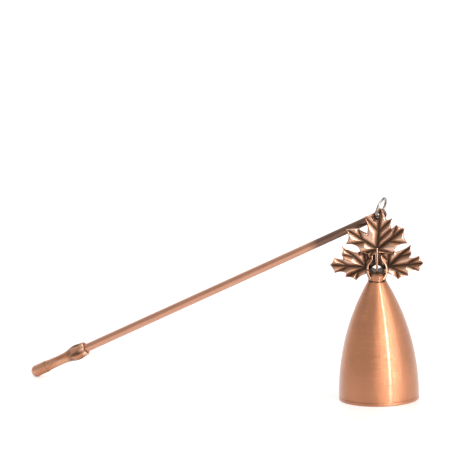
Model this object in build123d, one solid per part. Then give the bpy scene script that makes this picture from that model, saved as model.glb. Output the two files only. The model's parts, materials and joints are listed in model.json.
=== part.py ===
"""Candle snuffer: a bullet-shaped copper cup crowned by a spray of three maple leaves, hung by a
jump ring from the forged eye of a long round handle with a cast grip.

All lengths are in millimetres. The origin is the centre of the cup's mouth, on the table; +Z is up,
+X runs to the right of the spray and -Y is the side that the leaves face.
"""

import math
import os

from build123d import *

# Cup: one spun shell whose outline is a single arc above an upright band at the mouth.
mouth_radius = 19.0
mouth_band = 3.0
cup_height = 57.0
crown_radius = 4.3
cup_wall = 1.2
mouth_round = 0.35
crown_round = 0.5
mouth_line_height = 1.6
mouth_line_width = 0.3
mouth_line_depth = 0.12

# Calyx: the cast neck that seats on the crown and holds the three leaves.
calyx_foot_radius = 4.2
calyx_foot_height = 0.7
calyx_waist_radius = 4.35
calyx_waist_height = 2.6
calyx_rim_radius = 5.0
calyx_height = 6.2
calyx_bowl_wall = 0.9
calyx_valley_height = 4.4
calyx_valley_rise = 3.0

# Screw that draws the calyx down on the crown, put in from inside the cup.
screw_radius = 1.2
screw_reach = 2.1
screw_head_radius = 2.3
screw_head_height = 1.5
screw_slot_width = 0.6
screw_slot_depth = 0.7
screw_head_round = 0.4

# Leaves: cast plates with a flat back and V-shaped valleys along their veins.
leaf_thickness = 2.1
vein_floor = 0.85
vein_slope = 0.42
top_leaf_reach = 20.2
top_hub_rise = 15.5
top_leaf_lean = 1.0
side_leaf_reach = 17.0
side_leaf_hub_offset = 5.2
side_leaf_hub_rise = 6.5
side_leaf_back = 0.9
leaf_gap = 0.1
eyelet_radius = 1.45
eyelet_spot_radius = 2.3
eyelet_spot_floor = 0.95
eyelet_height = 15.9
stem_radius = 0.6
stem_setback = 1.3
stem_socket_depth = 1.6
tang_width = 2.0
tang_thickness = 1.2
tang_foot = 2.6
tang_root = 1.3
tang_offset = 3.6
strand_radius = 0.65
strand_depth = 1.25

# Jump ring of round steel wire, cut once and closed.
ring_radius = 4.6
ring_wire_radius = 0.65
ring_turn = 24.0
ring_lean = 20.0
ring_cut_angle = 2.4
ring_cut_place = 100.0
eyelet_to_eye = 4.2

# Handle: a round rod forged flat into an eye at one end, with a cast grip on the other.
rod_radius = 2.0
rod_recede = 20.4
handle_reach = 198.7
eye_radius = 3.0
eye_hole_radius = 1.55
eye_thickness = 1.8
eye_round = 0.35
neck_width = 4.4
neck_start = 2.0
neck_length = 8.0
rod_in_grip = 14.0

grip_length = 31.4
grip_mouth_recess = 1.6
grip_flare_radius = 3.75
grip_tail_radius = 2.8
flute_radius = 1.6
flute_start = 2.45
flute_tilt = 5.8
flute_length = 10.0
flute_count = 5

# Clearances and the overrun of every cut.
fixed_clearance = 0.05
screw_hole_clearance = 0.15
overrun = 1.0

# Corners of the leaves, clockwise, as shares of the leaf's reach from hub to tip: across, up, and
# how far the edge to the next corner bows into the leaf, as a share of that edge's length.
top_leaf_shares = {
    "tip": (0.070, 1.0, -0.03),
    "right_crown_notch": (0.225, 0.700, 0.10),
    "right_crown_tooth": (0.378, 0.768, 0.10),
    "right_upper_notch": (0.330, 0.487, 0.05),
    "right_shoulder": (0.457, 0.588, 0.15),
    "right_side_tip": (0.653, 0.507, 0.15),
    "right_side_tooth": (0.728, 0.132, 0.15),
    "right_lower_notch": (0.402, -0.010, 0.0),
    "right_base_tip": (0.357, -0.112, 0.03),
    "stem_sinus": (0.035, -0.090, 0.08),
    "left_base_tip": (-0.183, -0.218, 0.08),
    "left_base_notch": (-0.250, -0.098, 0.10),
    "left_base_tooth": (-0.382, -0.109, 0.10),
    "left_lower_notch": (-0.455, 0.062, 0.12),
    "left_side_tooth": (-0.741, 0.113, 0.18),
    "left_side_tip": (-0.723, 0.476, 0.0),
    "left_shoulder": (-0.438, 0.499, 0.05),
    "left_upper_notch": (-0.231, 0.384, 0.09),
    "left_crown_tooth": (-0.297, 0.780, 0.10),
}
side_leaf_shares = {
    "tip": (1.0, 0.086, 0.08),
    "lower_tooth": (0.869, -0.155, 0.14),
    "lower_notch": (0.554, -0.161, 0.0),
    "lower_lobe_tip": (0.576, -0.271, 0.12),
    "lower_lobe_tooth": (0.276, -0.365, 0.08),
    "stem_sinus": (0.012, -0.200, 0.0),
    "inner_sinus": (-0.109, -0.042, 0.0),
    "inner_lobe_base": (-0.278, 0.061, 0.0),
    "inner_lobe_tip": (-0.280, 0.453, 0.12),
    "inner_lobe_tooth": (0.049, 0.553, 0.10),
    "inner_notch": (0.235, 0.418, 0.06),
    "upper_lobe_tip": (0.668, 0.623, 0.12),
    "upper_lobe_tooth": (0.671, 0.368, 0.08),
    "upper_notch": (0.632, 0.227, 0.04),
    "upper_tooth": (0.884, 0.294, 0.12),
}
# Veins: the corner that a main vein runs to, then each twig's start along it and its own corner.
top_leaf_veins = {
    "tip": ((0.42, "right_crown_tooth"), (0.42, "left_crown_tooth")),
    "right_side_tip": ((0.55, "right_shoulder"), (0.38, "right_side_tooth")),
    "left_side_tip": ((0.50, "left_shoulder"), (0.38, "left_side_tooth")),
    "right_base_tip": (),
    "left_base_tooth": ((0.30, "left_base_tip"),),
}
side_leaf_veins = {
    "tip": ((0.50, "upper_tooth"), (0.50, "lower_tooth")),
    "upper_lobe_tip": ((0.45, "upper_lobe_tooth"),),
    "lower_lobe_tip": ((0.40, "lower_lobe_tooth"),),
    "inner_lobe_tooth": ((0.30, "inner_lobe_tip"),),
}
# Strand from its foot, through its bow and its bend, to its head: across and up from the side
# leaf's hub.
strand_shares = ((-0.047, 0.018), (-0.062, 0.071), (-0.112, 0.135), (-0.176, 0.271))
# Grip outline between its mouth and its tail: share of the length, share of the flare's radius.
grip_outline_shares = (
    (0.0, 0.72), (0.045, 0.90), (0.16, 1.0), (0.30, 0.80), (0.50, 0.655), (0.75, 0.735),
)


def unit(vector):
    return vector.normalized()


def bowed_outline(corners):
    """A face whose edges run clockwise from corner to corner, each bowed into the face."""
    edges = []
    for index, (across, up, bow) in enumerate(corners):
        next_across, next_up = corners[(index + 1) % len(corners)][:2]
        run, rise = next_across - across, next_up - up
        start, end = (across, up), (next_across, next_up)
        if bow:
            middle = ((across + next_across) / 2 + bow * rise, (up + next_up) / 2 - bow * run)
            edges.append(ThreePointArc(start, middle, end))
        else:
            edges.append(Line(start, end))
    return make_face(edges)


def vein_cutter(start, end):
    """A V-shaped prism that opens the front of a leaf from start to end, past the outline."""
    along = unit(Vector(end[0] - start[0], end[1] - start[1]))
    top = leaf_thickness + overrun
    half_width = (top - vein_floor) / vein_slope
    across = Plane(origin=(*start, 0), x_dir=(-along.Y, along.X, 0), z_dir=(along.X, along.Y, 0))
    profile = Polygon((0, vein_floor), (half_width, top), (-half_width, top), align=None)
    return extrude(across * profile, math.dist(start, end) + overrun)


def vein_cutters(points, veins, hub=(0.0, 0.0)):
    cutters = []
    for corner, twigs in veins.items():
        end = points[corner]
        cutters.append(vein_cutter(hub, end))
        for share, twig_corner in twigs:
            start = (hub[0] + share * (end[0] - hub[0]), hub[1] + share * (end[1] - hub[1]))
            cutters.append(vein_cutter(start, points[twig_corner]))
    return cutters


def scaled(shares, reach):
    return {name: (across * reach, up * reach, bow) for name, (across, up, bow) in shares.items()}


def cup():
    """The spun shell: the inner arc shares the outer arc's centre, so the wall is even."""
    rise, inset = cup_height - mouth_band, mouth_radius - crown_radius
    radius = (rise**2 + inset**2) / (2 * inset)
    centre = mouth_radius - radius
    inner_mouth = mouth_radius - cup_wall
    ceiling = cup_height - cup_wall

    def arc(arc_radius, top):
        half = (top - mouth_band) / 2
        return ThreePointArc(
            (centre + arc_radius, mouth_band),
            (centre + math.sqrt(arc_radius**2 - half**2), mouth_band + half),
            (centre + math.sqrt(arc_radius**2 - 4 * half**2), top),
        )

    outer, inner = arc(radius, cup_height), arc(radius - cup_wall, ceiling)
    hole = screw_radius + screw_hole_clearance
    top = Polyline(outer @ 1, (hole, cup_height), (hole, ceiling), inner @ 1)
    foot = Polyline(inner @ 0, (inner_mouth, 0), (mouth_radius, 0), outer @ 0)
    shell = revolve(Plane.XZ * make_face([outer, top, inner, foot]), Axis.Z)
    shell = fillet(shell.edges().group_by(Axis.Z)[0], mouth_round)
    deep, half_line = mouth_radius - mouth_line_depth, mouth_line_width / 2
    line = Polygon((deep, mouth_line_height), (mouth_radius, mouth_line_height - half_line),
                   (mouth_radius + overrun, mouth_line_height), (mouth_radius, mouth_line_height + half_line),
                   align=None)
    shell -= revolve(Plane.XZ * line, Axis.Z)
    crown_edge = shell.edges().filter_by(GeomType.CIRCLE).group_by(Axis.Z)[-1].sort_by(SortBy.RADIUS)[-1]
    return fillet(crown_edge, crown_round)


def top_leaf_frame():
    """The leaf's own plane: origin at its hub on its flat back, leaning about the stem's foot."""
    back = side_leaf_back - leaf_thickness - leaf_gap
    foot = Vector(0, back, cup_height + calyx_valley_height)
    lean = math.radians(top_leaf_lean)
    upright = Vector(math.sin(lean), 0, math.cos(lean))
    hub = foot + upright * (top_hub_rise - calyx_valley_height)
    return Plane(origin=hub, x_dir=(math.cos(lean), 0, -math.sin(lean)), z_dir=(0, -1, 0))


def stem(radius, reach_below):
    """The round stem of the top leaf, from just above its sinus down towards the calyx."""
    below = top_hub_rise - calyx_valley_height + reach_below
    start = stem_radius
    rod = Plane(origin=(0, start, stem_setback), z_dir=(0, -1, 0)) * Cylinder(
        radius, below + start, align=(Align.CENTER, Align.CENTER, Align.MIN)
    )
    return rod


def top_leaf():
    corners = scaled(top_leaf_shares, top_leaf_reach)
    blade = extrude(bowed_outline(list(corners.values())), leaf_thickness, dir=(0, 0, 1))
    points = {name: corner[:2] for name, corner in corners.items()}
    blade -= vein_cutters(points, top_leaf_veins)
    blade += stem(stem_radius, stem_socket_depth)
    # The eyelet, and the flat spot round it that leaves room for the ring to turn.
    blade -= Pos(0, eyelet_height, 0) * Cylinder(eyelet_radius, 2 * (leaf_thickness + overrun))
    blade -= Pos(0, eyelet_height, eyelet_spot_floor) * Cylinder(
        eyelet_spot_radius, leaf_thickness, align=(Align.CENTER, Align.CENTER, Align.MIN)
    )
    return top_leaf_frame() * blade


def side_leaf_blank(clearance):
    """The right-hand leaf before its veins, with the tang under it, or the pocket for both."""
    corners = list(scaled(side_leaf_shares, side_leaf_reach).values())
    outline = bowed_outline(corners)
    if clearance:
        straight = Polygon(*[corner[:2] for corner in corners], align=None)
        outline = offset(straight, clearance, kind=Kind.INTERSECTION)
    blade = Pos(0, 0, -clearance) * extrude(outline, leaf_thickness + 2 * clearance, dir=(0, 0, 1))
    across = tang_offset - side_leaf_hub_offset
    low = tang_foot - side_leaf_hub_rise
    tang = Box(tang_width + 2 * clearance, tang_root - low, tang_thickness + 2 * clearance,
               align=(Align.CENTER, Align.MIN, Align.CENTER))
    return blade + Pos(across, low, side_leaf_back) * tang


def strand():
    """The round rib that climbs from the calyx's horn up the leaf's inner edge."""
    points = [(across * side_leaf_reach, up * side_leaf_reach) for across, up in strand_shares]
    foot, bow, bend, head = points
    lower = ThreePointArc(foot, bow, bend)
    upper = TangentArc(bend, head, tangent=lower % 1)
    path = Pos(0, 0, strand_depth) * Wire([lower, upper])
    start = Plane(origin=path @ 0, z_dir=path % 0)
    return sweep(start * Circle(strand_radius), path=path)


def side_leaf():
    """The right-hand leaf, in its own plane with the hub at the origin and the tip along +X."""
    corners = scaled(side_leaf_shares, side_leaf_reach)
    points = {name: corner[:2] for name, corner in corners.items()}
    return side_leaf_blank(0) - vein_cutters(points, side_leaf_veins) + strand()


def side_leaf_frame():
    hub = (side_leaf_hub_offset, side_leaf_back, cup_height + side_leaf_hub_rise)
    return Plane(origin=hub, x_dir=(1, 0, 0), z_dir=(0, -1, 0))


def calyx():
    """A small bowl whose rim dips to a V at front and back and rises to a horn under each leaf."""
    rim_top = cup_height + calyx_height
    foot_top = cup_height + calyx_foot_height
    floor = cup_height + calyx_valley_height
    tapped = screw_radius + fixed_clearance
    tapped_top = cup_height + screw_reach + fixed_clearance
    outer = Spline(
        (calyx_foot_radius, foot_top),
        (calyx_waist_radius, cup_height + calyx_waist_height),
        (calyx_rim_radius, rim_top),
    )
    bowl_rim = calyx_rim_radius - calyx_bowl_wall
    section = Polyline(
        (calyx_rim_radius, rim_top), (bowl_rim, rim_top), (0, floor), (0, tapped_top),
        (tapped, tapped_top), (tapped, cup_height), (calyx_foot_radius, cup_height),
        (calyx_foot_radius, foot_top),
    )
    body = revolve(Plane.XZ * make_face([outer, section]), Axis.Z)
    # The valley: a V along Y that leaves the two horns.
    half_span = calyx_rim_radius + overrun
    rise = calyx_valley_rise * half_span / calyx_rim_radius
    valley = Polygon((0, floor), (half_span, floor + rise), (half_span, rim_top + rise),
                     (-half_span, rim_top + rise), (-half_span, floor + rise), align=None)
    body -= extrude(Plane.XZ * valley, half_span, both=True)
    pocket = side_leaf_frame() * side_leaf_blank(fixed_clearance)
    body -= [pocket, mirror(pocket, about=Plane.YZ)]
    body -= top_leaf_frame() * stem(stem_radius + fixed_clearance, stem_socket_depth)
    return body


def crown_screw():
    ceiling = cup_height - cup_wall
    shank_length = cup_wall + screw_reach
    shank = Pos(0, 0, ceiling) * Cylinder(
        screw_radius, shank_length, align=(Align.CENTER, Align.CENTER, Align.MIN)
    )
    head = Pos(0, 0, ceiling) * Cylinder(
        screw_head_radius, screw_head_height, align=(Align.CENTER, Align.CENTER, Align.MAX)
    )
    head = fillet(head.edges().group_by(Axis.Z)[0], screw_head_round)
    slot = Pos(0, 0, ceiling - screw_head_height) * Box(
        2 * screw_head_radius + overrun, screw_slot_width, 2 * screw_slot_depth
    )
    return shank + head - slot


def eyelet_centre():
    """Where the ring's wire passes through the leaf: the middle of the leaf at the eyelet."""
    return top_leaf_frame().from_local_coords(Vector(0, eyelet_height, vein_floor / 2))


def ring_axes():
    """The ring's level chord direction and the direction that it stands up in, both in its plane."""
    turn, lean = math.radians(ring_turn), math.radians(ring_lean)
    chord = Vector(math.sin(turn), math.cos(turn), 0)
    leaning = Vector(math.sin(lean), 0, math.cos(lean))
    return chord, unit(leaning - chord * leaning.dot(chord))


def ring_centre():
    chord, up = ring_axes()
    middle = eyelet_centre() + chord * (eyelet_to_eye / 2)
    return middle + up * math.sqrt(ring_radius**2 - (eyelet_to_eye / 2) ** 2)


def ring_frame():
    """Plane of the ring, with its x axis pointing down to the chord and z along the ring's axis."""
    chord, up = ring_axes()
    return Plane(origin=ring_centre(), x_dir=up * -1, z_dir=chord.cross(up))


def jump_ring():
    section = Plane.XZ * Pos(ring_radius, 0) * Circle(ring_wire_radius)
    wire = revolve(section, Axis.Z, 360 - ring_cut_angle)
    return ring_frame() * Rot(0, 0, ring_cut_place) * wire


def eye_frame():
    """Origin at the eye's centre, x along the rod to the grip and z along the eye's hole."""
    chord, up = ring_axes()
    centre = eyelet_centre() + chord * eyelet_to_eye
    drop = math.asin((centre.Z - grip_tail_radius) / (handle_reach - grip_tail_radius))
    recede = math.radians(rod_recede)
    along = Vector(-math.cos(drop) * math.cos(recede), math.cos(drop) * math.sin(recede), -math.sin(drop))
    opening = math.asin(eyelet_to_eye / 2 / ring_radius)
    wire = chord * math.cos(opening) + up * math.sin(opening)
    return Plane(origin=centre, x_dir=along, z_dir=unit(wire - along * wire.dot(along)))


def handle_rod():
    """The rod, its forged neck and the flat eye that the ring runs through."""
    eye = Cylinder(eye_radius, eye_thickness)
    eye = fillet(eye.edges().filter_by(GeomType.CIRCLE), eye_round)
    neck_end = neck_start + neck_length
    neck = loft([
        Plane(origin=(neck_start, 0, 0), x_dir=(0, 1, 0), z_dir=(1, 0, 0))
        * Ellipse(neck_width / 2, eye_thickness / 2),
        Plane(origin=(neck_end, 0, 0), x_dir=(0, 1, 0), z_dir=(1, 0, 0)) * Circle(rod_radius),
    ])
    rod_length = handle_reach - grip_length + rod_in_grip - neck_end
    rod = Plane(origin=(neck_end, 0, 0), z_dir=(1, 0, 0)) * Cylinder(
        rod_radius, rod_length, align=(Align.CENTER, Align.CENTER, Align.MIN)
    )
    hole = Cylinder(eye_hole_radius, 2 * (eye_thickness + overrun))
    return eye_frame() * (eye + neck + rod - hole)


def grip():
    """The cast grip: a flared, fluted mouth like a bud, a waist and a rounded tail, bored for the rod."""
    mouth = handle_reach - grip_length
    bore = rod_radius + fixed_clearance
    bore_end = mouth + rod_in_grip
    tail = handle_reach - grip_tail_radius
    outline = [(mouth + along * grip_length, out * grip_flare_radius) for along, out in grip_outline_shares]
    side = Spline(*outline, (tail, grip_tail_radius), tangents=[(0, 1), (1, 0)])
    cap = ThreePointArc(
        (tail, grip_tail_radius),
        (tail + grip_tail_radius * math.sin(math.pi / 4), grip_tail_radius * math.cos(math.pi / 4)),
        (handle_reach, 0),
    )
    core = Polyline(
        (handle_reach, 0), (bore_end, 0), (bore_end, bore), (mouth + grip_mouth_recess, bore),
        outline[0],
    )
    body = revolve(make_face([side, cap, core]), Axis.X)
    flutes = []
    for index in range(flute_count):
        place = Rot(360 / flute_count * index, 0, 0) * Pos(mouth, flute_start + flute_radius, 0)
        along_rod = Rot(0, 0, flute_tilt) * Rot(0, 90, 0)
        flutes.append(place * along_rod * Cylinder(flute_radius, 2 * flute_length))
    return eye_frame() * (body - flutes)


def main():
    os.makedirs("parts", exist_ok=True)
    right_leaf = side_leaf_frame() * side_leaf()
    nodes = {
        "bell_cup": cup(),
        "calyx": calyx(),
        "crown_screw": crown_screw(),
        "top_leaf": top_leaf(),
        "right_leaf": right_leaf,
        "left_leaf": mirror(right_leaf, about=Plane.YZ),
        "jump_ring": jump_ring(),
        "handle_rod": handle_rod(),
        "grip": grip(),
    }
    for name, shape in nodes.items():
        export_step(shape, f"parts/{name}.step")


main()
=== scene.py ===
import json
import math
from collections import namedtuple

import bmesh
import bpy
import numpy as np
from mathutils import Matrix, Vector
from mathutils.geometry import delaunay_2d_cdt


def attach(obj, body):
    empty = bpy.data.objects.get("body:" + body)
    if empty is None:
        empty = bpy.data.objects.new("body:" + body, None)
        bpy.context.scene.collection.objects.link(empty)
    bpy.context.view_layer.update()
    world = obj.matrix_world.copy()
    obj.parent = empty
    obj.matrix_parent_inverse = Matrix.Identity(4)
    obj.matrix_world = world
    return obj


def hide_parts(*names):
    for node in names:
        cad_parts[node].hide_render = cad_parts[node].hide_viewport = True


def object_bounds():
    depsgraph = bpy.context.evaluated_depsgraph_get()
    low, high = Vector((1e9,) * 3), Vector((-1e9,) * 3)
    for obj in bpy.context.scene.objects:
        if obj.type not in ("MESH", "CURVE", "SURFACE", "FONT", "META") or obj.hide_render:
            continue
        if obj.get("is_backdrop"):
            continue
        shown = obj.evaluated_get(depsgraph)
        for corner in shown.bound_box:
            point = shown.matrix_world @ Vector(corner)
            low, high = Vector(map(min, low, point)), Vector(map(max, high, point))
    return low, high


bl_info = {
    "name": "Candle Snuffer Dressing",
    "version": (1, 0, 0),
    "blender": (4, 5, 0),
    "location": "View3D > Sidebar > Snuffer",
    "description": "Dresses the packed candle snuffer: cast leaves, copper finishes, white studio",
    "category": "Object",
}

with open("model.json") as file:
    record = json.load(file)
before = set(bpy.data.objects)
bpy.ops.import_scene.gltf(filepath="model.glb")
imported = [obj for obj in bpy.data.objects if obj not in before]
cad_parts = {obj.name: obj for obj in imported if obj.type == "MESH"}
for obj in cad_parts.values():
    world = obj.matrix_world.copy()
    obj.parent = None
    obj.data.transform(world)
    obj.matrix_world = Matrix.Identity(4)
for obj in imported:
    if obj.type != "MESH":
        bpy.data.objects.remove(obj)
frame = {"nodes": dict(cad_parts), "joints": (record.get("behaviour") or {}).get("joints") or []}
CAD_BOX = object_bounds()
MM = 0.001
WHITE = (1.0, 1.0, 1.0, 1.0)

# The handle as the part has it: eye's centre to grip's end, the tail's radius, and how far the rod
# turns away from the front.
HANDLE_REACH = 0.1987
GRIP_TAIL_RADIUS = 0.0028
ROD_RECEDE = math.radians(20.4)
MOUTH_LINE_HEIGHT = 0.0016
CROWN_HEIGHT = 0.0570

# Where the leaves stand, in millimetres. The side hub is the right leaf's, and the left mirrors it.
TOP_LEAF_LEAN = math.radians(1.0)
STEM_FOOT = (0.0, -1.3, 61.4)
TOP_HUB_HEIGHT = 72.5
SIDE_HUB = (5.2, 0.9, 63.5)
Eyelet = namedtuple("Eyelet", "centre radius spot_radius spot_floor")
EYELET_SIDES = 48

# The stem's path from the top leaf's hub, as across, up and out from its back, and the right
# strand's path up from its horn on the calyx, in millimetres.
STEM_PATH = (
    (0.0, -12.7, 1.30), (-0.05, -9.5, 1.45), (0.0, -6.0, 1.6), (0.05, -3.0, 1.5),
    (0.0, -0.9, 1.0), (0.0, 0.4, 0.5),
)
STRAND_PATH = (
    (2.7, -3.1, 58.1), (3.7, -2.6, 59.2), (4.35, -2.0, 60.6), (4.55, -1.5, 62.2),
    (4.5, -1.25, 63.6), (4.1, -1.20, 64.9), (3.2, -1.15, 66.0), (2.4, -1.05, 67.0),
    (2.15, -0.95, 68.2), (2.25, -0.8, 69.4),
)

# The leaves' relief: how far two slopes blend, the rise away from a vein, a twig's floor above a
# main vein's and its width beside it, the change towards a vein's end, and the rounded rim.
BLEND = 0.00013
MAIN_SLOPE, TWIG_SLOPE = 0.62, 0.55
TWIG_LIFT, TWIG_WIDTH = 0.00018, 0.75
END_EASING, END_LIFT = 0.12, 0.00022
RIM_WIDTH = 0.0013
ROW_PITCH = 0.866

# The leaves' finish: patina beside a vein, wear away from it, and wear and no patina at the rim.
PATINA_WIDTH = 0.00095
WEAR_START = 0.0012
RIM_WEAR = 0.00035
RIM_CLEAR = 0.0006

# The picture: how far the camera looks down, its roll, the size of a pixel at the cup and where
# the middle of the cup's mouth falls.
CAMERA_TILT, CAMERA_ROLL = math.radians(11.7), math.radians(1.2)
PIXEL_SIZE = 0.474 * MM
HALF_PICTURE = 225.0
MOUTH_PIXEL = (379.2, 398.1)
CAMERA_DISTANCE = 5.0
FLOOR_REACH = 6.0

# Corners of the leaves, clockwise from the tip, as shares of the reach from hub to tip: across, up,
# and how far the edge to the next corner bows into the leaf.
TOP_LEAF_CORNERS = {
    "tip": (0.070, 1.0, -0.03),
    "right_crown_notch": (0.225, 0.700, 0.10),
    "right_crown_tooth": (0.378, 0.768, 0.10),
    "right_upper_notch": (0.330, 0.487, 0.05),
    "right_shoulder": (0.457, 0.588, 0.15),
    "right_side_tip": (0.653, 0.507, 0.15),
    "right_side_tooth": (0.728, 0.132, 0.15),
    "right_lower_notch": (0.402, -0.010, 0.0),
    "right_base_tip": (0.357, -0.112, 0.03),
    "stem_sinus": (0.035, -0.090, 0.08),
    "left_base_tip": (-0.183, -0.218, 0.08),
    "left_base_notch": (-0.250, -0.098, 0.10),
    "left_base_tooth": (-0.382, -0.109, 0.10),
    "left_lower_notch": (-0.455, 0.062, 0.12),
    "left_side_tooth": (-0.741, 0.113, 0.18),
    "left_side_tip": (-0.723, 0.476, 0.0),
    "left_shoulder": (-0.438, 0.499, 0.05),
    "left_upper_notch": (-0.231, 0.384, 0.09),
    "left_crown_tooth": (-0.297, 0.780, 0.10),
}
SIDE_LEAF_CORNERS = {
    "tip": (1.0, 0.086, 0.08),
    "lower_tooth": (0.869, -0.155, 0.14),
    "lower_notch": (0.554, -0.161, 0.0),
    "lower_lobe_tip": (0.576, -0.271, 0.12),
    "lower_lobe_tooth": (0.276, -0.365, 0.08),
    "stem_sinus": (0.012, -0.200, 0.0),
    "inner_sinus": (-0.109, -0.042, 0.0),
    "inner_lobe_base": (-0.278, 0.061, 0.0),
    "inner_lobe_tip": (-0.280, 0.453, 0.12),
    "inner_lobe_tooth": (0.049, 0.553, 0.10),
    "inner_notch": (0.235, 0.418, 0.06),
    "upper_lobe_tip": (0.668, 0.623, 0.12),
    "upper_lobe_tooth": (0.671, 0.368, 0.08),
    "upper_notch": (0.632, 0.227, 0.04),
    "upper_tooth": (0.884, 0.294, 0.12),
}
# Main veins run from the hub to a corner; each twig starts at a share of its main vein.
TOP_LEAF_VEINS = {
    "tip": ((0.42, "right_crown_tooth"), (0.42, "left_crown_tooth"),
            (0.20, "right_upper_notch")),
    "right_side_tip": ((0.55, "right_shoulder"), (0.38, "right_side_tooth")),
    "left_side_tip": ((0.50, "left_shoulder"), (0.38, "left_side_tooth")),
    "right_base_tip": (),
    "left_base_tooth": ((0.30, "left_base_tip"),),
}
SIDE_LEAF_VEINS = {
    "tip": ((0.50, "upper_tooth"), (0.50, "lower_tooth")),
    "upper_lobe_tip": ((0.45, "upper_lobe_tooth"),),
    "lower_lobe_tip": ((0.40, "lower_lobe_tooth"),),
    "inner_lobe_tooth": ((0.30, "inner_lobe_tip"),),
}


class Sock:
    """A shader socket that takes part in Python arithmetic."""

    def __init__(self, tree, socket):
        self.tree, self.socket = tree, socket

    def math(self, operation, *values):
        return node(self.tree, "ShaderNodeMath", {"operation": operation}, dict(enumerate(values)))

    def __add__(self, other):
        return self.math("ADD", self, other)

    def __radd__(self, other):
        return self.math("ADD", other, self)

    def __sub__(self, other):
        return self.math("SUBTRACT", self, other)

    def __rsub__(self, other):
        return self.math("SUBTRACT", other, self)

    def __mul__(self, other):
        return self.math("MULTIPLY", self, other)

    def __rmul__(self, other):
        return self.math("MULTIPLY", other, self)

    def __truediv__(self, other):
        return self.math("DIVIDE", self, other)

    def __pow__(self, other):
        return self.math("POWER", self, other)

    def clamp(self):
        return node(self.tree, "ShaderNodeClamp", {}, {0: self})

    def magnitude(self):
        return self.math("ABSOLUTE", self)

    def root(self):
        return self.math("SQRT", self)

    def wave(self):
        return self.math("SINE", self)

    def span(self, low, high):
        """0 below low, 1 above high and smooth between."""
        return node(self.tree, "ShaderNodeMapRange", {"interpolation_type": "SMOOTHSTEP"},
                    {"Value": self, "From Min": low, "From Max": high})


def node(tree, kind, settings, values, output=0):
    """Adds a node: its settings first, then the values or links of its sockets."""
    made = tree.nodes.new(kind)
    for name, value in settings.items():
        if name == "stops":
            ramp = made.color_ramp
            while len(ramp.elements) < len(value):
                ramp.elements.new(0.5)
            for element, (place, colour) in zip(ramp.elements, value):
                element.position, element.color = place, (*colour, 1.0)
        else:
            setattr(made, name, value)
    for key, value in values.items():
        socket = made.inputs[key]
        if isinstance(value, Sock):
            tree.links.new(value.socket, socket)
        else:
            socket.default_value = value
    return Sock(tree, made.outputs[output])


def mix_colour(tree, factor, first, second, blend="MIX"):
    """Mixes two colours, each a link or plain red, green and blue."""
    made = tree.nodes.new("ShaderNodeMix")
    made.data_type, made.blend_type = "RGBA", blend
    for place_at, value in ((0, factor), (6, first), (7, second)):
        socket = made.inputs[place_at]
        if isinstance(value, Sock):
            tree.links.new(value.socket, socket)
        elif isinstance(value, (int, float)):
            socket.default_value = value
        else:
            socket.default_value = (*tuple(value)[:3], 1.0)
    return Sock(tree, made.outputs[2])


def new_material(name):
    """An empty node material and its tree."""
    material = bpy.data.materials.new(name)
    material.use_nodes = True
    tree = material.node_tree
    tree.nodes.clear()
    return material, tree


def close_material(tree, values, bump=None, strength=0.2, distance=0.0001):
    """Ends a material in one Principled shader, with an optional height that bumps its normal."""
    if bump is not None:
        values = dict(values)
        values["Normal"] = node(tree, "ShaderNodeBump", {},
                                {"Strength": strength, "Distance": distance, "Height": bump})
    shader = node(tree, "ShaderNodeBsdfPrincipled", {}, values)
    out = tree.nodes.new("ShaderNodeOutputMaterial")
    tree.links.new(shader.socket, out.inputs[0])


def place(tree):
    """Object coordinates."""
    return node(tree, "ShaderNodeTexCoord", {}, {}, 3)


def vector(tree, operation, *values, output=0):
    """A vector node; output 1 is the number that a length or a dot product gives."""
    return node(tree, "ShaderNodeVectorMath", {"operation": operation}, dict(enumerate(values)),
                output)


def stretched(tree, where, scale, turn=(0.0, 0.0, 0.0), centre=(0.0, 0.0, 0.0)):
    """Coordinates moved to a centre, turned and then stretched."""
    turned = node(tree, "ShaderNodeVectorRotate", {"rotation_type": "EULER_XYZ"},
                  {"Vector": vector(tree, "SUBTRACT", where, centre), "Rotation": turn})
    return vector(tree, "MULTIPLY", turned, scale)


def noise(tree, where, scale, detail=3.0, rough=0.55):
    """Cloudy noise, about 0.5."""
    return node(tree, "ShaderNodeTexNoise", {},
                {"Vector": where, "Scale": scale, "Detail": detail, "Roughness": rough})


def split(tree, where):
    """The three parts of a vector."""
    made = tree.nodes.new("ShaderNodeSeparateXYZ")
    tree.links.new(where.socket, made.inputs[0])
    return [Sock(tree, output) for output in made.outputs]


def toned(colour, amount):
    """A colour with each part multiplied by an amount."""
    return [part * amount for part in colour]


def length(name, description, default):
    """A length that the panel shows."""
    return bpy.props.FloatProperty(name=name, description=description, default=default,
                                   unit="LENGTH")


def tint(name, description, default):
    """A colour that the panel shows."""
    return bpy.props.FloatVectorProperty(name=name, description=description, default=default,
                                         subtype="COLOR")


class SnufferSizes(bpy.types.PropertyGroup):
    top_reach: length("Top leaf reach", "Hub to tip of the top leaf", 0.0202)
    side_reach: length("Side leaf reach", "Hub to tip of a side leaf", 0.0170)
    leaf_thickness: length("Leaf thickness", "Back to highest ridge", 0.0021)
    vein_floor: length("Vein floor", "Metal left under a main vein", 0.00075)
    edge_height: length("Edge height", "Height of a leaf's rim", 0.0009)
    mesh_step: length("Mesh step", "Spacing of a leaf's vertices", 0.00022)
    stem_radius: length("Stem radius", "Radius of the stem's lower end", 0.0006)


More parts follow.
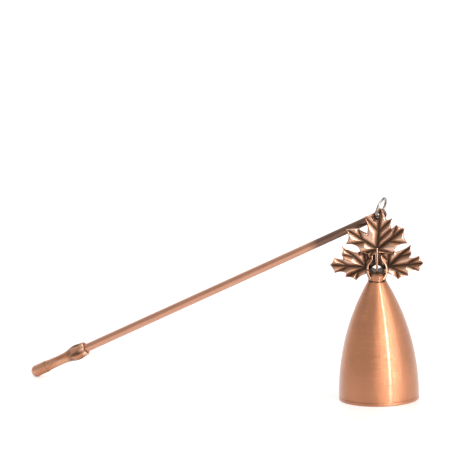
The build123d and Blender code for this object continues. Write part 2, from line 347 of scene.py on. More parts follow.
class SnufferColours(bpy.types.PropertyGroup):
    # Patina also paints shade under the top leaf, in the calyx's bowl and at its sides, round the
    # eyelet, in the rod's eye and in the grip's mouth; bright copper also paints the highlight
    # round the grip's mouth.
    copper: tint("Copper", "Rubbed antique copper", (0.60, 0.245, 0.118))
    bright: tint("Bright copper", "Copper on worn ridges", (0.82, 0.50, 0.35))
    patina: tint("Patina", "Dark brown left in hollows", (0.052, 0.031, 0.020))
    rod: tint("Rod copper", "Paler copper of the drawn rod", (0.62, 0.30, 0.19))
    wire: tint("Wire", "Plated wire of the jump ring", (0.42, 0.385, 0.345))
    floor: tint("Floor", "Pale studio floor", (0.86, 0.85, 0.84))


def rod_frame():
    """The eye's centre and the way the rod runs from it, worked out as the part does."""
    swing = next(joint for joint in frame["joints"] if joint["name"] == "handle_swing")
    centre = Vector(swing["pos_m"])
    drop = math.asin((centre.z - GRIP_TAIL_RADIUS) / (HANDLE_REACH - GRIP_TAIL_RADIUS))
    along = Vector((-math.cos(drop) * math.cos(ROD_RECEDE), math.cos(drop) * math.sin(ROD_RECEDE),
                    -math.sin(drop)))
    return centre, along


def rod_places(tree, where):
    """Distance along the rod and from its eye, then the centre and turn that lay lines along it."""
    centre, along = rod_frame()
    offset = vector(tree, "SUBTRACT", where, centre)
    reach = vector(tree, "DOT_PRODUCT", offset, along, output=1)
    away = vector(tree, "LENGTH", offset, output=1)
    turn = tuple(along.to_track_quat("X", "Z").inverted().to_euler())
    return reach, away, centre, turn


def satin_copper():
    """The cup: brushed round, so its fine lines run level, under a thin clear coat."""
    colours = bpy.context.scene.snuffer_colours
    material, tree = new_material("satin_copper")
    where = place(tree)
    height = split(tree, where)[2]
    lines = noise(tree, stretched(tree, where, (30.0, 30.0, 9000.0)), 1.0, 1.0)
    broad = noise(tree, stretched(tree, where, (22.0, 22.0, 900.0)), 1.0, 3.0)
    cloud = noise(tree, where, 60.0, 3.0)
    tone = mix_colour(tree, (cloud * 0.7 + broad * 0.15 + lines * 0.15).span(0.35, 0.65),
                      toned(colours.copper, 0.82), toned(colours.copper, 0.95))
    # The turned line just above the mouth and the darker hollow under the calyx.
    line = 1.0 - (height - MOUTH_LINE_HEIGHT).magnitude().span(0.0001, 0.00035)
    crown = height.span(0.0562, CROWN_HEIGHT)
    tone = mix_colour(tree, (line * 0.2 + crown * 0.5).clamp(), tone, colours.patina)
    close_material(tree, {"Base Color": tone, "Metallic": 1.0,
                          "Roughness": 0.29 + lines * 0.06 + cloud * 0.05,
                          "Coat Weight": 0.8, "Coat Roughness": 0.13}, lines, 1.0, 0.00009)
    return material


def cast_copper():
    """The leaves: dark with patina in the veins and with painted shade under and behind the top
    leaf and round the eyelet, as each vertex's attribute gives, and rubbed bright on the ridges.
    """
    colours = bpy.context.scene.snuffer_colours
    material, tree = new_material("cast_copper")
    where = place(tree)
    cavity, wear = (node(tree, "ShaderNodeAttribute", {"attribute_name": name}, {}, 2)
                    for name in ("cavity", "wear"))
    grain = noise(tree, where, 1500.0, 4.0, 0.6)
    cloud = noise(tree, where, 330.0, 3.0)
    # Patina and painted shade from the vertices' attribute, broken up by cloudy grain.
    shade_and_patina_mix = (cavity + (grain - 0.5) * 0.2 + (cloud - 0.5) * 0.35).span(0.08, 0.80)
    ridge = (wear + (cloud - 0.5) * 0.35).span(0.38, 0.92)
    tone = mix_colour(tree, ridge, toned(colours.copper, 0.62), toned(colours.bright, 0.85))
    tone = mix_colour(tree, shade_and_patina_mix, tone, colours.patina)
    close_material(tree, {"Base Color": tone, "Metallic": 1.0,
                          "Roughness": 0.30 + shade_and_patina_mix * 0.22 - ridge * 0.11 + (grain - 0.5) * 0.10,
                          "Coat Weight": 0.6 - shade_and_patina_mix * 0.5, "Coat Roughness": 0.2},
                   grain, 0.25, 0.00006)
    return material


def calyx_copper():
    """The calyx: dark at its foot, painted shade in the bowl and at its sides, darker from the
    collar up to the valley, with patches of patina, and bright towards its top.
    """
    colours = bpy.context.scene.snuffer_colours
    material, tree = new_material("calyx_copper")
    where = place(tree)
    across, _, height = split(tree, where)
    grain = noise(tree, where, 1500.0, 4.0, 0.6)
    cloud = noise(tree, where, 420.0, 3.0)
    aside = across.magnitude()
    above_valley = height.span(0.0606, 0.0613)
    foot = 1.0 - height.span(CROWN_HEIGHT, 0.0579)
    # Painted shade in the bowl between the horns.
    bowl = (1.0 - aside.span(0.0028, 0.0042)) * above_valley
    # Darker from 59.2 mm up to the valley's foot.
    collar = height.span(0.0592, 0.0602) * (1.0 - above_valley) * 0.55
    # Painted shade towards the sides.
    sides = aside.span(0.0018, 0.0034) * 0.5
    shade_and_patina_mix = (foot * 0.8 + bowl * 0.9 + collar + sides + (cloud - 0.5) * 0.9
              + (grain - 0.5) * 0.2).span(0.15, 0.95)
    ridge = height.span(0.0612, 0.0630)
    tone = mix_colour(tree, ridge, toned(colours.copper, 0.75), colours.bright)
    tone = mix_colour(tree, shade_and_patina_mix, tone, colours.patina)
    close_material(tree, {"Base Color": tone, "Metallic": 1.0,
                          "Roughness": 0.28 + shade_and_patina_mix * 0.25 + (grain - 0.5) * 0.1,
                          "Coat Weight": 0.7 - shade_and_patina_mix * 0.6, "Coat Roughness": 0.15},
                   grain, 0.2, 0.00006)
    return material


def rod_copper():
    """The rod: drawn lines along it, darker brown over its last 34 to 41 mm towards the eye, and
    painted shade on the inside of the eye.
    """
    colours = bpy.context.scene.snuffer_colours
    material, tree = new_material("rod_copper")
    where = place(tree)
    reach, away, centre, turn = rod_places(tree, where)
    lines = noise(tree, stretched(tree, where, (60.0, 2600.0, 2600.0), turn, centre), 1.0, 2.0)
    cloud = noise(tree, where, 160.0, 3.0)
    # Darker brown over the rod's end towards the eye.
    darker_towards_eye = 1.0 - (reach + (cloud - 0.5) * 0.006).span(0.034, 0.041)
    # Painted shade on the inside of the eye.
    shade_and_patina_mix = 1.0 - away.span(0.0017, 0.0030)
    eye_end_colour = [0.75 * dark + 0.12 * pale for dark, pale in zip(colours.patina, colours.rod)]
    tone = mix_colour(tree, (lines * 0.6 + cloud * 0.4).span(0.3, 0.7),
                      toned(colours.rod, 0.92), toned(colours.rod, 1.08))
    tone = mix_colour(tree, darker_towards_eye * (0.72 + cloud * 0.3), tone, eye_end_colour)
    tone = mix_colour(tree, shade_and_patina_mix, tone, colours.patina)
    close_material(tree, {"Base Color": tone, "Metallic": 1.0,
                          "Roughness": 0.26 + lines * 0.08 + darker_towards_eye * 0.10,
                          "Coat Weight": 0.8, "Coat Roughness": 0.15}, lines, 0.08, 0.00005)
    return material


def grip_copper():
    """The grip: rubbed bright on the swell, with patina down its flutes, painted shade inside its
    mouth and a painted highlight round the mouth's rim.
    """
    colours = bpy.context.scene.snuffer_colours
    material, tree = new_material("grip_copper")
    where = place(tree)
    reach, away, centre, turn = rod_places(tree, where)
    cloud = noise(tree, where, 230.0, 3.0)
    grain = noise(tree, where, 1400.0, 3.0)
    radius = (away * away - reach * reach).root()
    flutes = ((1.0 - radius.span(0.0030, 0.0037)) * (1.0 - reach.span(0.1745, 0.1785))
              * reach.span(0.1690, 0.1715))
    # Painted shade inside the mouth.
    mouth = (1.0 - radius.span(0.0022, 0.0026)) * (1.0 - reach.span(0.1692, 0.1696))
    # Painted highlight round the rim of the mouth.
    mouth_rim_highlight = (1.0 - reach.span(0.1683, 0.1696)) * radius.span(0.0022, 0.0027)
    dark = (flutes * (0.60 + cloud * 0.5) + mouth * 0.8).clamp()
    streak = noise(tree, stretched(tree, where, (90.0, 420.0, 420.0), turn, centre), 1.0, 2.0)
    rubbed = [0.6 * dull + 0.4 * bright for dull, bright in zip(colours.copper, colours.bright)]
    tone = mix_colour(tree, streak.span(0.35, 0.65), toned(colours.copper, 0.85), rubbed)
    tone = mix_colour(tree, mouth_rim_highlight, tone, colours.bright)
    tone = mix_colour(tree, dark, tone, colours.patina)
    close_material(tree, {"Base Color": tone, "Metallic": 1.0,
                          "Roughness": 0.28 + dark * 0.2 + (grain - 0.5) * 0.06,
                          "Coat Weight": 0.7, "Coat Roughness": 0.15}, grain, 0.12, 0.00006)
    return material


def bright_wire():
    """The jump ring: bright plating with a fine grain and a little tarnish."""
    colours = bpy.context.scene.snuffer_colours
    material, tree = new_material("bright_wire")
    where = place(tree)
    cloud = noise(tree, where, 500.0, 3.0)
    fine = noise(tree, where, 3000.0, 3.0)
    tone = mix_colour(tree, cloud.span(0.45, 0.75), colours.wire, toned(colours.wire, 0.45))
    close_material(tree, {"Base Color": tone, "Metallic": 1.0,
                          "Roughness": 0.16 + cloud * 0.12 + fine * 0.06}, fine, 0.08, 0.00003)
    return material


def plain_steel():
    """The screw inside the cup: dull steel with turned rings."""
    material, tree = new_material("plain_steel")
    where = place(tree)
    x, y, _ = split(tree, where)
    rings = ((x * x + y * y).root() * 30000.0).wave()
    grain = noise(tree, where, 1800.0, 3.0)
    tone = mix_colour(tree, grain, (0.34, 0.33, 0.32), (0.50, 0.49, 0.47))
    close_material(tree, {"Base Color": tone, "Metallic": 1.0, "Roughness": 0.35 + grain * 0.15},
                   rings * 0.5 + grain, 0.10, 0.00003)
    return material


def dress_node(name, material):
    """Gives a node of the frame a finish in every slot."""
    target = frame["nodes"][name]
    if not target.material_slots:
        raise ValueError("node " + name + " has no material slot")
    for slot in target.material_slots:
        slot.material = material
    return target


def leaf_outline(corners, reach, step):
    """The leaf's edge as evenly spaced points, each side bowed into the leaf as in the part."""
    names = list(corners)
    points = []
    for index, name in enumerate(names):
        across, up, bow = corners[name]
        next_across, next_up = corners[names[(index + 1) % len(names)]][:2]
        start = np.array((across, up)) * reach
        end = np.array((next_across, next_up)) * reach
        run = end - start
        length = np.linalg.norm(run)
        inward = np.array((run[1], -run[0]))
        count = max(2, int(length / step))
        for part in range(count):
            share = part / count
            points.append(start + run * share + inward * bow * 4 * share * (1 - share))
    return np.array(points)


def closed_pairs(points):
    """Each point of a closed outline with the next."""
    return zip(points, np.roll(points, -1, axis=0))


def segment_distance(points, start, end):
    """Distance from each point to a segment, and how far along the segment its foot lies."""
    run = end - start
    share = np.clip(((points - start) @ run) / (run @ run), 0, 1)
    return np.linalg.norm(points - start - share[:, None] * run, axis=1), share


def edge_distance(points, outline):
    """Distance from each point to the nearest side of an outline."""
    edge = np.full(len(points), 1.0)
    for start, end in closed_pairs(outline):
        edge = np.minimum(edge, segment_distance(points, start, end)[0])
    return edge


def inside(points, polygon):
    """Which points lie inside a closed polygon."""
    result = np.zeros(len(points), bool)
    x, y = points[:, 0], points[:, 1]
    for (x0, y0), (x1, y1) in closed_pairs(polygon):
        if y0 != y1:
            result ^= ((y0 > y) != (y1 > y)) & (x < (x1 - x0) * (y - y0) / (y1 - y0) + x0)
    return result


def leaf_veins(corners, veins, reach):
    """Vein segments as (start, end, main), with the twigs after their main vein."""
    lines = []
    for corner, twigs in veins.items():
        end = np.array(corners[corner][:2]) * reach
        lines.append((np.zeros(2), end, True))
        for share, twig_corner in twigs:
            lines.append((end * share, np.array(corners[twig_corner][:2]) * reach, False))
    return lines


def leaf_relief(points, outline, lines, sizes):
    """Height, patina and wear at each point: V valleys along the veins, round ridges, low edges."""
    floor, top, rim = sizes.vein_floor, sizes.leaf_thickness, sizes.edge_height
    total = np.zeros(len(points))
    groove = np.full(len(points), 1.0)
    for start, end, main in lines:
        away, share = segment_distance(points, start, end)
        base, slope = (floor, MAIN_SLOPE) if main else (floor + TWIG_LIFT, TWIG_SLOPE)
        # A valley grows shallower towards the leaf's edge, and its sides less steep.
        height = base + slope * away * (1.0 - END_EASING * share) + END_LIFT * share**2
        total += np.exp(-height / BLEND)
        groove = np.minimum(groove, away / (1.0 if main else TWIG_WIDTH))
    valley = -BLEND * np.log(total)
    edge = edge_distance(points, outline)
    swell = np.clip(edge / RIM_WIDTH, 0, 1)
    fall = rim + (top - rim) * np.sqrt(swell * (2 - swell))
    height = -BLEND * np.log(np.exp(-valley / BLEND) + np.exp(-fall / BLEND)
                             + np.exp(-(top + BLEND * 1.2) / BLEND))
    low = np.clip((height - floor) / (top - floor), 0, 1)
    cavity = np.maximum(np.clip(1.0 - groove / PATINA_WIDTH, 0, 1) ** 1.1,
                        0.85 * (1.0 - low) ** 1.2)
    wear = np.maximum(low * np.clip(groove / WEAR_START, 0, 1),
                      np.clip(1.0 - edge / RIM_WEAR, 0, 1) * 0.9)
    return np.minimum(height, top), cavity * np.clip(edge / RIM_CLEAR, 0.1, 1), wear


def leaf_points(outline, lines, eyelet, step):
    """The closed loops of the net, and all its points: loops, veins and an even grid between."""
    low, high = outline.min(axis=0), outline.max(axis=0)
    columns = np.arange(low[0], high[0], step)
    rows = np.arange(low[1], high[1], step * ROW_PITCH)
    grid = np.array([(x + (step / 2 if row % 2 else 0), y)
                     for row, y in enumerate(rows) for x in columns])
    grid = grid[inside(grid, outline)]
    clear = edge_distance(grid, outline) > step * 0.6
    loops, veins = [outline], []
    if eyelet:
        turns = np.linspace(0, 2 * math.pi, EYELET_SIDES, endpoint=False)
        loops.append(np.stack([eyelet.centre[0] + eyelet.radius * np.sin(turns),
                               eyelet.centre[1] + eyelet.radius * np.cos(turns)], 1))
        clear &= np.linalg.norm(grid - eyelet.centre, axis=1) > eyelet.radius + step * 0.5
    for start, end, _ in lines:
        clear &= segment_distance(grid, start, end)[0] > step * 0.45
        count = max(2, int(np.linalg.norm(end - start) / step))
        spread = [start + (end - start) * share for share in np.linspace(0, 1, count)[1:-1]]
        veins += [point for point in spread if not eyelet
                  or np.linalg.norm(point - eyelet.centre) > eyelet.radius + step * 0.5]
    return loops, np.concatenate(loops + [np.array(veins), grid[clear]])


def leaf_net(loops, points, outline, eyelet):
    """A Delaunay net over the leaf, open at the eyelet: its points and its triangles."""
    edges, first = [], 0
    for loop in loops:
        edges += [(first + i, first + (i + 1) % len(loop)) for i in range(len(loop))]
        first += len(loop)
    flat, _, faces = delaunay_2d_cdt([Vector(v) for v in points / MM], edges, [], 0, 1e-6)[:3]
    flat = np.array([tuple(v) for v in flat]) * MM
    triangles = np.array([tuple(face) for face in faces])
    middles = flat[triangles].mean(axis=1)
    keep = inside(middles, outline)
    if eyelet:
        keep &= np.linalg.norm(middles - eyelet.centre, axis=1) > eyelet.radius * 0.998
    triangles = triangles[keep]
    used = np.unique(triangles)
    index = np.full(len(flat), -1)
    index[used] = np.arange(len(used))
    return flat[used], index[triangles]


def sink_eyelet(flat, height, cavity, wear, eyelet, thickness):
    """The relief lowered to a flat spot round the eyelet, with painted shade at the hole, and not
    worn.
    """
    ring = np.linalg.norm(flat - eyelet.centre, axis=1)
    floor = eyelet.spot_floor
    slope = floor + (thickness - floor) * np.clip((ring - eyelet.spot_radius) / (0.6 * MM), 0, 1)
    height = np.where(ring < eyelet.spot_radius, np.minimum(height, floor),
                      np.minimum(height, slope))
    # Painted shade round the hole.
    cavity = np.maximum(cavity, np.clip(1.0 - (ring - eyelet.radius) / (0.9 * MM), 0, 1) * 0.9)
    return height, cavity, wear * np.clip((ring - eyelet.spot_radius) / (0.5 * MM), 0, 1)


def leaf_mesh(name, corners, veins, reach, to_world, eyelet=None, dark=None):
    """A closed cast leaf: a relief front over a Delaunay net, a flat back and a rim between."""
    sizes = bpy.context.scene.snuffer_sizes
    outline = leaf_outline(corners, reach, sizes.mesh_step)
    lines = leaf_veins(corners, veins, reach)
    loops, points = leaf_points(outline, lines, eyelet, sizes.mesh_step)
    flat, triangles = leaf_net(loops, points, outline, eyelet)
    height, cavity, wear = leaf_relief(flat, outline, lines, sizes)
    if eyelet:
        height, cavity, wear = sink_eyelet(flat, height, cavity, wear, eyelet,
                                           sizes.leaf_thickness)
    # Painted shade from the dark function joins the patina and takes the wear away there.
    if dark is not None:
        shaded = dark(flat)
        cavity, wear = np.maximum(cavity, shaded), wear * (1 - shaded)
    count = len(flat)
    front = [to_world(x, y, h) for (x, y), h in zip(flat, height)]
    back = [to_world(x, y, 0.0) for x, y in flat]
    directed = {(a, b) for tri in triangles for a, b in zip(tri, np.roll(tri, -1))}
    rim = [(a, b) for a, b in directed if (b, a) not in directed]
    faces = [tuple(int(i) for i in tri) for tri in triangles]
    faces += [tuple(int(i) + count for i in tri[::-1]) for tri in triangles]
    faces += [(int(b), int(a), int(a) + count, int(b) + count) for a, b in rim]
    mesh = bpy.data.meshes.new(name)
    mesh.from_pydata([tuple(p) for p in front + back], [], faces)
    mesh.update()
    # The back takes the front's patina and painted shade, and at least a light darkening all over.
    mark(mesh, "cavity", np.concatenate([cavity, np.maximum(0.35, cavity * 0.9)]))
    mark(mesh, "wear", np.concatenate([wear, np.full(count, 0.1)]))
    finish_mesh(mesh, 35)
    made = bpy.data.objects.new(name, mesh)
    bpy.context.collection.objects.link(made)
    return made


def mark(mesh, label, values):
    """Stores a number at each vertex for the finish to read."""
    layer = mesh.attributes.new(label, "FLOAT", "POINT")
    layer.data.foreach_set("value", values.astype(np.float32))


def finish_mesh(mesh, sharp_degrees, weld=None):
    """Turns faces outwards and shades all but sharp edges smooth, with points welded if asked."""
    shape = bmesh.new()
    shape.from_mesh(mesh)
    if weld:
        bmesh.ops.remove_doubles(shape, verts=shape.verts, dist=weld)
    bmesh.ops.recalc_face_normals(shape, faces=shape.faces)
    shape.to_mesh(mesh)
    shape.free()
    mesh.shade_smooth()
    mesh.set_sharp_from_angle(angle=math.radians(sharp_degrees))


def sweep_tree():
    """A node tree that sweeps a round section along a curve, tapered from its start to its end."""
    tree = bpy.data.node_groups.new("stem_sweep", "GeometryNodeTree")
    face = tree.interface
    face.new_socket("Geometry", in_out="INPUT", socket_type="NodeSocketGeometry")
    for label, value in (("Start Radius", 0.0006), ("End Radius", 0.0004)):
        socket = face.new_socket(label, in_out="INPUT", socket_type="NodeSocketFloat")
        socket.default_value = value
    sides = face.new_socket("Sides", in_out="INPUT", socket_type="NodeSocketInt")
    sides.default_value = 20
    face.new_socket("Material", in_out="INPUT", socket_type="NodeSocketMaterial")
    face.new_socket("Geometry", in_out="OUTPUT", socket_type="NodeSocketGeometry")
    given, result = tree.nodes.new("NodeGroupInput"), tree.nodes.new("NodeGroupOutput")
    link = tree.links.new

    resample = tree.nodes.new("GeometryNodeResampleCurve")
    resample.inputs["Count"].default_value = 40
    link(given.outputs["Geometry"], resample.inputs["Curve"])
    along = tree.nodes.new("GeometryNodeSplineParameter")
    taper = tree.nodes.new("ShaderNodeMapRange")
    link(along.outputs["Factor"], taper.inputs["Value"])
    link(given.outputs["Start Radius"], taper.inputs["To Min"])
    link(given.outputs["End Radius"], taper.inputs["To Max"])
    section = tree.nodes.new("GeometryNodeCurvePrimitiveCircle")
    section.inputs["Radius"].default_value = 1.0
    link(given.outputs["Sides"], section.inputs["Resolution"])
    sweep = tree.nodes.new("GeometryNodeCurveToMesh")
    link(resample.outputs["Curve"], sweep.inputs["Curve"])
    link(section.outputs["Curve"], sweep.inputs["Profile Curve"])
    link(taper.outputs["Result"], sweep.inputs["Scale"])
    sweep.inputs["Fill Caps"].default_value = True
    real = tree.nodes.new("GeometryNodeRealizeInstances")
    link(sweep.outputs["Mesh"], real.inputs["Geometry"])
    paint = tree.nodes.new("GeometryNodeSetMaterial")
    link(real.outputs["Geometry"], paint.inputs["Geometry"])
    link(given.outputs["Material"], paint.inputs["Material"])
    link(paint.outputs["Geometry"], result.inputs["Geometry"])
    return tree


def swept(name, path, start_radius, end_radius, material, wear):
    """A plain mesh tube along a smooth path of points in the row frame, in metres."""
    curve = bpy.data.curves.new(name + "_path", "CURVE")
    curve.dimensions = "3D"
    spline = curve.splines.new("NURBS")
    spline.points.add(len(path) - 1)
    for point, spot in zip(spline.points, path):
        point.co = (*spot, 1.0)
    spline.order_u, spline.use_endpoint_u, spline.resolution_u = 4, True, 16
    carrier = bpy.data.objects.new(name + "_path", curve)
    bpy.context.collection.objects.link(carrier)
    tree = bpy.data.node_groups.get("stem_sweep") or sweep_tree()
    modifier = carrier.modifiers.new("sweep", "NODES")
    modifier.node_group = tree
    values = {"Start Radius": start_radius, "End Radius": end_radius, "Sides": 20,
              "Material": material}
    for item in tree.interface.items_tree:
        if item.in_out == "INPUT" and item.name in values:
            modifier[item.identifier] = values[item.name]
    seen = carrier.evaluated_get(bpy.context.evaluated_depsgraph_get())
    mesh = bpy.data.meshes.new_from_object(seen)
    mesh.name = name
    carrier.modifiers.remove(modifier)
    bpy.data.objects.remove(carrier)
    finish_mesh(mesh, 50, weld=1e-7)
    for label, value in (("cavity", 0.12), ("wear", wear)):
        mark(mesh, label, np.full(len(mesh.vertices), value))
    made = bpy.data.objects.new(name, mesh)
    bpy.context.collection.objects.link(made)
    return made


def finish_piece(piece, body, material):
    """Gives a new piece its finish and its body."""
    if not piece.data.materials:
        piece.data.materials.append(material)
    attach(piece, body)


class SNUFFER_OT_cup(bpy.types.Operator):
    """Finish the cup and the screw inside it"""

    bl_idname = "snuffer.cup"
    bl_label = "Cup"

    def execute(self, context):
        dress_node("bell_cup", satin_copper())
        dress_node("crown_screw", plain_steel())
        return {"FINISHED"}


def top_leaf(sizes, material):
    """The top leaf with its eyelet, and the stem that it stands on."""
    foot = Vector(STEM_FOOT) * MM
    upright = Vector((math.sin(TOP_LEAF_LEAN), 0.0, math.cos(TOP_LEAF_LEAN)))
    across = Vector((math.cos(TOP_LEAF_LEAN), 0.0, -math.sin(TOP_LEAF_LEAN)))
    hub = foot + upright * (TOP_HUB_HEIGHT - STEM_FOOT[2]) * MM

    def top_place(x, y, h):
        return hub + across * float(x) + upright * float(y) + Vector((0.0, -float(h), 0.0))

    eyelet = Eyelet(centre=np.array((0.0, 15.9 * MM)), radius=1.45 * MM, spot_radius=2.1 * MM,
                    spot_floor=0.95 * MM)
    leaf = leaf_mesh("maple_leaf_top", TOP_LEAF_CORNERS, TOP_LEAF_VEINS, sizes.top_reach,
                     top_place, eyelet)
    finish_piece(leaf, "bell", material)
    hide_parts("top_leaf")
    path = [top_place(x * MM, y * MM, h * MM) for x, y, h in STEM_PATH]
    stem = swept("maple_stem_top", path, sizes.stem_radius, sizes.stem_radius * 0.9, material,
                 0.55)
    finish_piece(stem, "bell", material)


def side_leaf_shade(flat, sign, top_edge):
    """Painted shade: dark behind the top leaf's stem, between the strands, and under the top leaf's
    edge.
    """
    x, y = flat[:, 0] / MM, flat[:, 1] / MM
    behind = np.clip((-2.4 - 0.20 * y - x) / 0.8 + 0.8, 0, 1) * np.clip((8.6 - y) / 1.5, 0, 1)
    foot = np.clip((-0.6 - x) / 0.5 + 0.5, 0, 1) * np.clip(2.0 - y, 0, 1)
    seen = np.stack([sign * (flat[:, 0] + SIDE_HUB[0] * MM),
                     flat[:, 1] - (TOP_HUB_HEIGHT - SIDE_HUB[2]) * MM], 1)
    near = np.clip(1.25 - edge_distance(seen, top_edge) / (1.1 * MM), 0, 1)
    under = np.where(inside(seen, top_edge), 1.0, near)
    return np.maximum(np.maximum(behind, foot), under)


def side_leaf(side, sign, sizes, material):
    """One side leaf and the strand that climbs from its horn on the calyx."""
    hub_across, hub_back, hub_height = SIDE_HUB
    top_edge = leaf_outline(TOP_LEAF_CORNERS, sizes.top_reach, 0.8 * MM)

    def side_place(x, y, h):
        return Vector((sign * (hub_across * MM + float(x)), hub_back * MM - float(h),
                       hub_height * MM + float(y)))

    leaf = leaf_mesh("maple_leaf_" + side, SIDE_LEAF_CORNERS, SIDE_LEAF_VEINS, sizes.side_reach,
                     side_place, None, lambda flat: side_leaf_shade(flat, sign, top_edge))
    finish_piece(leaf, "bell", material)
    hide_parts(side + "_leaf")
    path = [Vector((sign * x, y, z)) * MM for x, y, z in STRAND_PATH]
    strand = swept("strand_" + side, path, 0.78 * MM, 0.5 * MM, material, 0.6)
    finish_piece(strand, "bell", material)


class SNUFFER_OT_leaves(bpy.types.Operator):
    """Build the three cast leaves over the plain ones, with their relief, stem and strands"""

    bl_idname = "snuffer.leaves"
    bl_label = "Leaves"

    def execute(self, context):
        sizes = context.scene.snuffer_sizes
        material = cast_copper()
        dress_node("calyx", calyx_copper())
        top_leaf(sizes, material)
        for side, sign in (("right", 1.0), ("left", -1.0)):
            side_leaf(side, sign, sizes, material)
        return {"FINISHED"}


class SNUFFER_OT_ring(bpy.types.Operator):
    """Finish the jump ring"""

    bl_idname = "snuffer.ring"
    bl_label = "Jump ring"

    def execute(self, context):
        dress_node("jump_ring", bright_wire())
        return {"FINISHED"}


class SNUFFER_OT_handle(bpy.types.Operator):
    """Finish the rod and the grip"""

    bl_idname = "snuffer.handle"
    bl_label = "Handle"

    def execute(self, context):
        dress_node("handle_rod", rod_copper())
        dress_node("grip", grip_copper())
        return {"FINISHED"}


def stage_plane(name, corners, material):
    """A flat piece of the stage, which is no part of the object."""
    mesh = bpy.data.meshes.new(name)
    mesh.from_pydata(corners, [], [(0, 1, 2, 3)])
    mesh.materials.append(material)
    made = bpy.data.objects.new(name, mesh)
    bpy.context.collection.objects.link(made)
    made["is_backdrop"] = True
    return made


def area_lamp(name, place_at, aim, size, power, colour=(1.0, 1.0, 1.0)):
    """A soft rectangular lamp turned to a point."""
    lamp = bpy.data.lights.new(name, "AREA")
    lamp.shape, lamp.size, lamp.size_y = "RECTANGLE", size[0], size[1]
    lamp.energy, lamp.color = power, colour
    made = bpy.data.objects.new(name, lamp)
    made.location = place_at
    made.rotation_euler = (Vector(aim) - Vector(place_at)).to_track_quat("-Z", "Y").to_euler()
    bpy.context.collection.objects.link(made)
    return made


def ray_kinds(tree):
    """Rays that come straight from the camera or through something clear, and mirrored rays."""
    path = tree.nodes.new("ShaderNodeLightPath")
    straight = (Sock(tree, path.outputs["Is Camera Ray"])
                + Sock(tree, path.outputs["Is Transmission Ray"])).clamp()
    return straight, Sock(tree, path.outputs["Is Glossy Ray"])


def studio_floor(colours):
    """The pale floor, which mirrors a little and is lifted to white away from the snuffer."""
    material, tree = new_material("studio_floor")
    straight, mirrored = ray_kinds(tree)
    away = vector(tree, "LENGTH", place(tree), output=1)
    lift = straight * (0.23 + away.span(0.10, 0.50) * 0.27) + mirrored * 0.08
    diffuse = node(tree, "ShaderNodeBsdfDiffuse", {}, {"Color": (*colours.floor, 1.0)})
    sheen = node(tree, "ShaderNodeBsdfAnisotropic", {}, {"Color": WHITE, "Roughness": 0.22})
    glow = node(tree, "ShaderNodeEmission", {}, {"Color": WHITE, "Strength": lift})
    glance = node(tree, "ShaderNodeFresnel", {}, {"IOR": 1.45})
    table = node(tree, "ShaderNodeMixShader", {}, {0: glance, 1: diffuse, 2: sheen})
    both = node(tree, "ShaderNodeAddShader", {}, {0: table, 1: glow})
    out = tree.nodes.new("ShaderNodeOutputMaterial")
    tree.links.new(both.socket, out.inputs[0])
    corners = [(x * FLOOR_REACH, y * FLOOR_REACH, 0)
               for x, y in ((-1, -1), (1, -1), (1, 1), (-1, 1))]
    stage_plane("studio_floor", corners, material)


def studio_world(scene):
    """A white room to look at, which the metal sees greyer in front and white behind."""
    world = bpy.data.worlds.new("studio")
    scene.world = world
    world.use_nodes = True
    tree = world.node_tree
    tree.nodes.clear()
    straight, mirrored = ray_kinds(tree)
    x, y, _ = split(tree, node(tree, "ShaderNodeTexCoord", {}, {}, 0))
    behind = y.span(0.1, 0.9)
    room = 0.56 + behind * 0.44 + (1.0 - behind) * x.span(0.1, 0.8) * 0.24
    strength = 0.62 + straight * 0.38 + mirrored * (room - 0.62)
    sky = node(tree, "ShaderNodeBackground", {}, {"Color": WHITE, "Strength": strength})
    out = tree.nodes.new("ShaderNodeOutputWorld")
    tree.links.new(sky.socket, out.inputs[0])


def studio_camera(scene):
    """A far camera with a long lens, set so that the mouth's middle falls where it should."""
    level = Vector((1.0, 0.0, 0.0))
    rise = Vector((0.0, math.sin(CAMERA_TILT), math.cos(CAMERA_TILT)))
    right = level * math.cos(CAMERA_ROLL) - rise * math.sin(CAMERA_ROLL)
    up = level * math.sin(CAMERA_ROLL) + rise * math.cos(CAMERA_ROLL)
    back = right.cross(up)
    aim = (right * (HALF_PICTURE - MOUTH_PIXEL[0]) * PIXEL_SIZE
           + up * (MOUTH_PIXEL[1] - HALF_PICTURE) * PIXEL_SIZE)
    camera = bpy.data.cameras.new("camera")
    camera.sensor_width = 36.0
    camera.lens = camera.sensor_width * CAMERA_DISTANCE / (2 * HALF_PICTURE * PIXEL_SIZE)
    camera.clip_end = 60.0
    holder = bpy.data.objects.new("camera", camera)
    turn = Matrix((right, up, back)).transposed().to_4x4()
    holder.matrix_world = Matrix.Translation(aim + back * CAMERA_DISTANCE) @ turn
    bpy.context.collection.objects.link(holder)
    scene.camera = holder


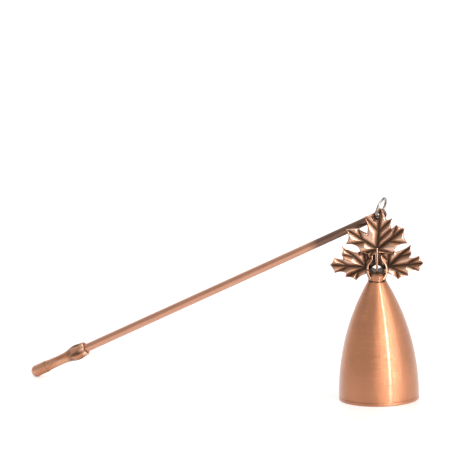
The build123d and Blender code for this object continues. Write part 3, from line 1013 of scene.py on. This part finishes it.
class SNUFFER_OT_stage(bpy.types.Operator):
    """Set the pale floor, the soft lamps and the camera"""

    bl_idname = "snuffer.stage"
    bl_label = "Studio"

    def execute(self, context):
        scene = context.scene
        studio_floor(scene.snuffer_colours)
        studio_world(scene)
        middle = Vector((0.0, 0.0, 0.04))
        area_lamp("strip_lamp", (0.59, -0.96, 0.42), middle, (0.12, 1.3), 12.5)
        area_lamp("right_lamp", (0.95, -0.74, 0.55), middle, (1.0, 1.2), 4.5, (1.0, 0.97, 0.94))
        area_lamp("top_lamp", (-0.3, 0.1, 1.3), (-0.08, 0.0, 0.0), (1.0, 1.0), 6.5)
        studio_camera(scene)
        scene.view_settings.view_transform = "Standard"
        return {"FINISHED"}


class SNUFFER_PT_panel(bpy.types.Panel):
    bl_idname = "SNUFFER_PT_panel"
    bl_label = "Snuffer"
    bl_space_type = "VIEW_3D"
    bl_region_type = "UI"
    bl_category = "Snuffer"

    def draw(self, context):
        column = self.layout.column()
        for operator in OPERATORS:
            column.operator(operator.bl_idname)
        for group in (context.scene.snuffer_sizes, context.scene.snuffer_colours):
            for name in group.__annotations__:
                column.prop(group, name)


OPERATORS = (SNUFFER_OT_cup, SNUFFER_OT_leaves, SNUFFER_OT_ring, SNUFFER_OT_handle,
             SNUFFER_OT_stage)
CLASSES = (SnufferSizes, SnufferColours, *OPERATORS, SNUFFER_PT_panel)


def register():
    for made in CLASSES:
        bpy.utils.register_class(made)
    bpy.types.Scene.snuffer_sizes = bpy.props.PointerProperty(type=SnufferSizes)
    bpy.types.Scene.snuffer_colours = bpy.props.PointerProperty(type=SnufferColours)


def unregister():
    del bpy.types.Scene.snuffer_colours
    del bpy.types.Scene.snuffer_sizes
    for made in reversed(CLASSES):
        bpy.utils.unregister_class(made)


def plain(value):
    """Vectors as plain lists of numbers."""
    return [plain(part) for part in value] if hasattr(value, "__len__") else float(value)


def main():
    register()
    bpy.ops.snuffer.cup()
    bpy.ops.snuffer.leaves()
    bpy.ops.snuffer.ring()
    bpy.ops.snuffer.handle()
    bpy.ops.snuffer.stage()
    {"cad": plain(CAD_BOX), "visual": plain(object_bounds())}


if __name__ == "__main__":
    main()
